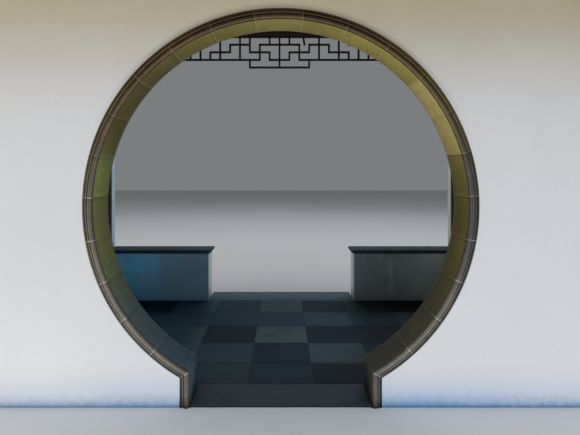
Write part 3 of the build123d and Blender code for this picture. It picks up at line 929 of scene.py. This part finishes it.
def eave_plate(outline, lean):
    """A plate that closes the end of a tile row, from (x, z) points, leaning out at the foot."""
    builder = bmesh.new()
    front, back = [
        [builder.verts.new((x, y, z)) for x, z in outline]
        for y in (-half_plate_thickness, half_plate_thickness)
    ]
    prism(builder, back, front)
    face_outwards(builder)
    turn = Matrix.Rotation(lean, 3, "X")
    bmesh.ops.rotate(builder, verts=builder.verts, cent=(0, 0, 0), matrix=turn)
    bevel_sharp(builder, plate_wear, 1)
    return mesh_from("plate", builder)


def drip_outline():
    """Hanging tongue of a drip tile: the hollow tile's arc above, a rounded tongue below."""
    radius = (pan_half_width ** 2 + pan_rise ** 2) / (2 * pan_rise)
    tongue_drop = 0.080
    shoulder = 0.035
    points = [
        (x, radius - sqrt(radius ** 2 - x ** 2) + tile_thickness)
        for x in evenly(-pan_half_width, pan_half_width, 8)
    ]
    for angle in evenly(0, pi, 12):
        spread = pan_half_width * (0.98 - 0.14 * sin(angle))
        points.append((
            spread * cos(angle), -tongue_drop * sin(angle) ** 0.7 + shoulder * (1 - sin(angle))))
    return points


def cap_outline():
    """Upright fan that closes the end of a row of cover tiles."""
    fan_half_width = cover_half_width + 0.004
    fan_foot = 0.020
    fan_rise = cover_rise + 0.020
    foot_height, foot_rise = 0.004, 0.010
    fan = [
        (fan_half_width * cos(angle), fan_foot + fan_rise * sin(angle) ** 0.8)
        for angle in evenly(0, pi, 12)
    ]
    foot = [
        (cover_half_width * 0.98 * share, foot_height + foot_rise * cos(pi / 2 * share))
        for share in evenly(-1, 1, 6)
    ]
    return fan + foot


def build_tiles(tree, side, slope, kinds):
    """Rows of hollow and cover tiles on a slope, with a closed end for each row at the eave."""
    outer_row = roof_high.x - cover_row_edge
    pitch = 2 * outer_row / (tile_row_count - 1)
    start, control, end = tile_curve(bedding_top + tile_clearance, tile_setback)
    end = end - (end - control).normalized() * (tile_length - tile_overrun)
    covering = []
    for tile, plate, lift, rows_fewer, seed in kinds:
        raised = Vector((0, 0, lift))
        values = {
            "Start": start + raised, "Control": control + raised, "End": end + raised,
            "Spacing": tile_exposure, "Row Count": tile_row_count - rows_fewer,
            "First Row": rows_fewer * pitch / 2 - outer_row, "Row Pitch": pitch,
            "Tilt": -atan2(tile_thickness, tile_exposure), "Unevenness": radians(0.8),
            "Seed": seed + side, "Finish": roof_tile,
        }
        covering.append(repeat_piece(tree, tile.copy(), values))
        # The path of the row's one end plate is only long enough to have a direction
        lip = start + Vector((0, -plate_forward, lift))
        covering.append(repeat_piece(tree, plate.copy(), {
            **values, "Start": lip, "Control": lip + Vector((0, 0.001, 0)),
            "End": lip + Vector((0, 0.002, 0)), "Spacing": 1.0, "Tilt": 0.0,
            "Unevenness": radians(0.6)}))
    whole = joined_mesh("roof_tiles_" + slope, covering)
    if side:
        about = Matrix.Translation((0, ridge_y, 0))
        whole.transform(about @ Matrix.Rotation(pi, 4, "Z") @ about.inverted())
    place_piece("roof_tiles_" + slope, whole, roof_tile, ["roof_" + slope + "_slope"])


def build_boards(side, slope):
    """Boards on the rafters, and the bedding that the tiles lie in."""
    below, above = [roof_line(slab_offset + offset) for offset in (0.0, board_thickness)]
    builder = bmesh.new()
    width = (roof_high.x - roof_low.x) / board_count
    for number in range(board_count):
        left = roof_low.x + number * width
        strip_along_roof(
            builder, set_back(below, board_setback), set_back(above, board_setback),
            left + half_board_joint, left + width - half_board_joint, side)
    face_outwards(builder)
    set_tones(builder, random.Random(61 + side))
    place_built("roof_boards_" + slope, builder, board_timber)
    bedding = bmesh.new()
    top = points_on(*tile_curve(bedding_top))
    strip_along_roof(
        bedding, set_back(above, bedding_setback), set_back(top, bedding_setback),
        roof_low.x + bedding_end_setback, roof_high.x - bedding_end_setback, side)
    face_outwards(bedding)
    place_built("roof_bedding_" + slope, bedding, ridge_mortar)


def build_roof(tree):
    """Tiles, boards and bedding on both slopes."""
    pan = half_tile(pan_half_width, pan_rise, True)
    cover = half_tile(cover_half_width, cover_rise, False)
    # Tile, plate at its eave, lift, rows fewer than the cover tiles have, seed
    kinds = [
        (pan, eave_plate(drip_outline(), drip_lean), 0.0, 1, 7),
        (cover, eave_plate(cap_outline(), cap_lean), cover_lift, 0, 11),
    ]
    for side, slope in enumerate(("front", "rear")):
        build_tiles(tree, side, slope, kinds)
        build_boards(side, slope)


def tile_on_edge(steps=6):
    """A small hollow tile standing on edge in the ridge's waist, its bow towards the next one."""
    lines = []
    for bow in (0.0, edge_tile_thickness):
        lines.append([
            Vector((-edge_tile_depth / 2, bow + edge_tile_bow * sin(pi * share),
                    edge_tile_height * share))
            for share in evenly(0, 1, steps)
        ])
    return arched_plate("edge_tile", *lines, Vector((edge_tile_depth, 0, 0)))


def build_ridge(tree):
    """Ridge of moulded courses with a row of tiles standing on edge in its waist, on both sides."""
    softened("ridge_bed_mortar", "ridge_bed", 0.004, ridge_mortar, "ridge_tile", 71)
    softened("roof_ridge_courses", "roof_ridge", 0.004, ridge_tile, "ridge_tile", 72)
    foot = ridge_base + ridge_foot_height
    tip = foot + ridge_end_rise
    half = roof_high.x
    level_half = half - ridge_end_run
    middle_x = (level_half + half) / 2
    # Level in the middle and rising at both ends, as (x, z); the rows stop a little before the ends
    paths = [
        ((-level_half, foot), (0.0, foot), (level_half, foot)),
        ((level_half + edge_tile_pitch, foot), (middle_x, foot), (half - 0.03, tip - 0.007)),
        ((-half + 0.012, tip - 0.003), (-middle_x, foot), (-level_half - edge_tile_pitch, foot)),
    ]
    offset = ridge_waist_half_width + edge_tile_depth / 2 - edge_tile_sunk
    rows = []
    for number, path in enumerate(paths):
        start, control, end = [Vector((0, along, height)) for along, height in path]
        rows.append(repeat_piece(tree, tile_on_edge(), {
            "Start": start, "Control": control, "End": end, "Spacing": edge_tile_pitch,
            "Row Count": 2, "First Row": -offset, "Row Pitch": 2 * offset, "Tilt": 0.0,
            "Unevenness": radians(1.0), "Seed": 80 + number, "Finish": roof_tile}))
    whole = joined_mesh("ridge_tiles_on_edge", rows)
    whole.transform(Matrix.Translation((0, ridge_y, 0)) @ Matrix.Rotation(-pi / 2, 4, "Z"))
    place_piece("ridge_tiles_on_edge", whole, roof_tile)


def dress_frame():
    """Materials for the walls, and worn edges for the stones and timbers."""
    for name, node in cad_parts.items():
        low_wall = name in ("low_wall_left", "low_wall_right")
        if low_wall or any(word in name for word in ("front_wall", "side_wall", "gable")):
            node.data.materials.clear()
            node.data.materials.append(shaded_plaster if low_wall else plaster)
    # Piece, node, wear of the edges, material, slot, seed, and steps of the rounding if not two
    pieces = [
        ("threshold_stone_worn", "threshold_stone", 0.005, threshold_granite,
         "threshold_granite", 1, 3),
        ("rear_kerb_worn", "rear_kerb", 0.004, kerb_stone, "kerb_stone", 2),
    ]
    for side, seed in (("left", 3), ("right", 4)):
        pieces += [
            ("low_wall_coping_slabs_" + side, "low_wall_coping_" + side, 0.002, coping_tile,
             "coping_tile", seed),
            ("post_timber_" + side, "post_" + side, 0.004, post_timber, "dark_timber", seed),
            ("post_pad_" + side, "post_base_" + side, 0.006, pad_stone, "post_base_stone", seed),
        ]
    pieces += [
        ("rear_beam_timber", "rear_beam", 0.006, beam_timber, "dark_timber", 5),
        ("hanging_lattice_bars", "hanging_lattice", 0.0022, lattice_timber, "dark_timber", 6, 1),
    ]
    purlins = ("front_eave", "front_middle", "ridge", "rear_middle", "rear_eave")
    for seed, purlin in enumerate(purlins, 10):
        node = purlin + "_purlin"
        pieces.append((node + "_timber", node, 0.004, purlin_timber, "roof_timber", seed))
    for number, slope in enumerate(("front", "rear")):
        rafters, board = slope + "_rafters", slope + "_eave_board"
        pieces += [
            (slope + "_rafter_timbers", rafters, 0.003, rafter_timber, "roof_timber", 20 + number),
            (board + "_timber", board, 0.002, purlin_timber, "roof_timber", 30 + number),
        ]
    for piece in pieces:
        softened(*piece)


# Studio


def add_light(name, place, target, size, power, colour):
    """A soft square lamp that looks at a point."""
    lamp = bpy.data.lights.new(name, "AREA")
    lamp.shape = "RECTANGLE"
    lamp.size, lamp.size_y = size
    lamp.energy = power
    lamp.color = linear(colour)[:3]
    holder = bpy.data.objects.new(name, lamp)
    holder.location = place
    holder.rotation_euler = (Vector(target) - Vector(place)).to_track_quat("-Z", "Y").to_euler()
    holder.visible_camera = False
    scene.collection.objects.link(holder)


def build_studio():
    """Pale floor, pale world, soft lamps and the photograph's camera."""
    reach = 30.0
    ground_mesh = bpy.data.meshes.new("studio_floor")
    corners = [(-reach, -reach, 0), (reach, -reach, 0), (reach, reach, 0), (-reach, reach, 0)]
    ground_mesh.from_pydata(corners, [], [(0, 1, 2, 3)])
    ground = bpy.data.objects.new("studio_floor", ground_mesh)
    scene.collection.objects.link(ground)
    material, place = start_material("studio_floor_pale")
    ground_mesh.materials.append(close_material(material, "C9C9C6", 0.9, relief(place, (50, 0.1))))

    world = bpy.data.worlds.new("studio_world")
    scene.world = world
    world.use_nodes = True
    world.node_tree.nodes.clear()
    sky = add_node(world.node_tree, "ShaderNodeBackground", {"Color": "E2E6EA", "Strength": 0.26})
    add_node(world.node_tree, "ShaderNodeOutputWorld", {"Surface": sky})

    # Name, place, point it looks at, size, power, colour; the first three light it from the ground
    for lamp in (
            ("front_near_left", (-4.4, -1.3, 0.003), (-4.4, -1.3, 5.0), (6.4, 2.2), 285, "EEF3FF"),
            ("front_near_right", (2.0, -1.3, 0.003), (2.0, -1.3, 5.0), (6.4, 2.2), 205, "D3E2FF"),
            ("front_far", (-2.2, -5.1, 0.003), (-2.2, -5.1, 5.0), (12.0, 5.4), 290, "FFDC98"),
            ("front_high", (0.5, -2.9, 9.4), (0, -0.3, 0.6), (10.0, 3.0), 520, "D2E2FF"),
            ("back_soft", (1.5, 9.0, 8.5), (0, 2.9, 1.6), (9.0, 4.0), 330, "D2E2FF"),
            ("porch_fill", (0.5, 0.75, 0.9), (-1.3, 2.45, 0.35), (0.8, 0.8), 4.5, "74B2FF"),
            ("left_soft", (-9.0, 1.4, 6.0), (-2.2, 1.4, 1.6), (7.0, 5.0), 330, "F6F8FF"),
            ("right_soft", (9.0, 1.4, 6.0), (2.2, 1.4, 1.6), (7.0, 5.0), 330, "F6F8FF"),
            ("top_soft", (0.0, 1.6, 11.0), (0, 1.6, 0), (8.0, 6.0), 420, "FFFFFF")):
        add_light(*lamp)

    lens = bpy.data.cameras.new("photo_camera")
    lens.sensor_width = 36.0
    lens.lens = focal_pixels * lens.sensor_width / image_width
    lens.shift_x = (image_width / 2 - principal_x) / image_width
    lens.shift_y = (horizon_y - image_height / 2) / image_width
    lens.clip_start = 0.05
    lens.clip_end = 200.0
    camera = bpy.data.objects.new("photo_camera", lens)
    camera.location = (eye_beside_gate, wall_front - wall_distance, floor_top + eye_above_floor)
    camera.rotation_euler = (radians(90), 0, 0)
    scene.collection.objects.link(camera)
    scene.camera = camera


dress_frame()
build_surround()
build_floor()
repeated_rows = rows_along_path()
build_roof(repeated_rows)
build_ridge(repeated_rows)
build_studio()
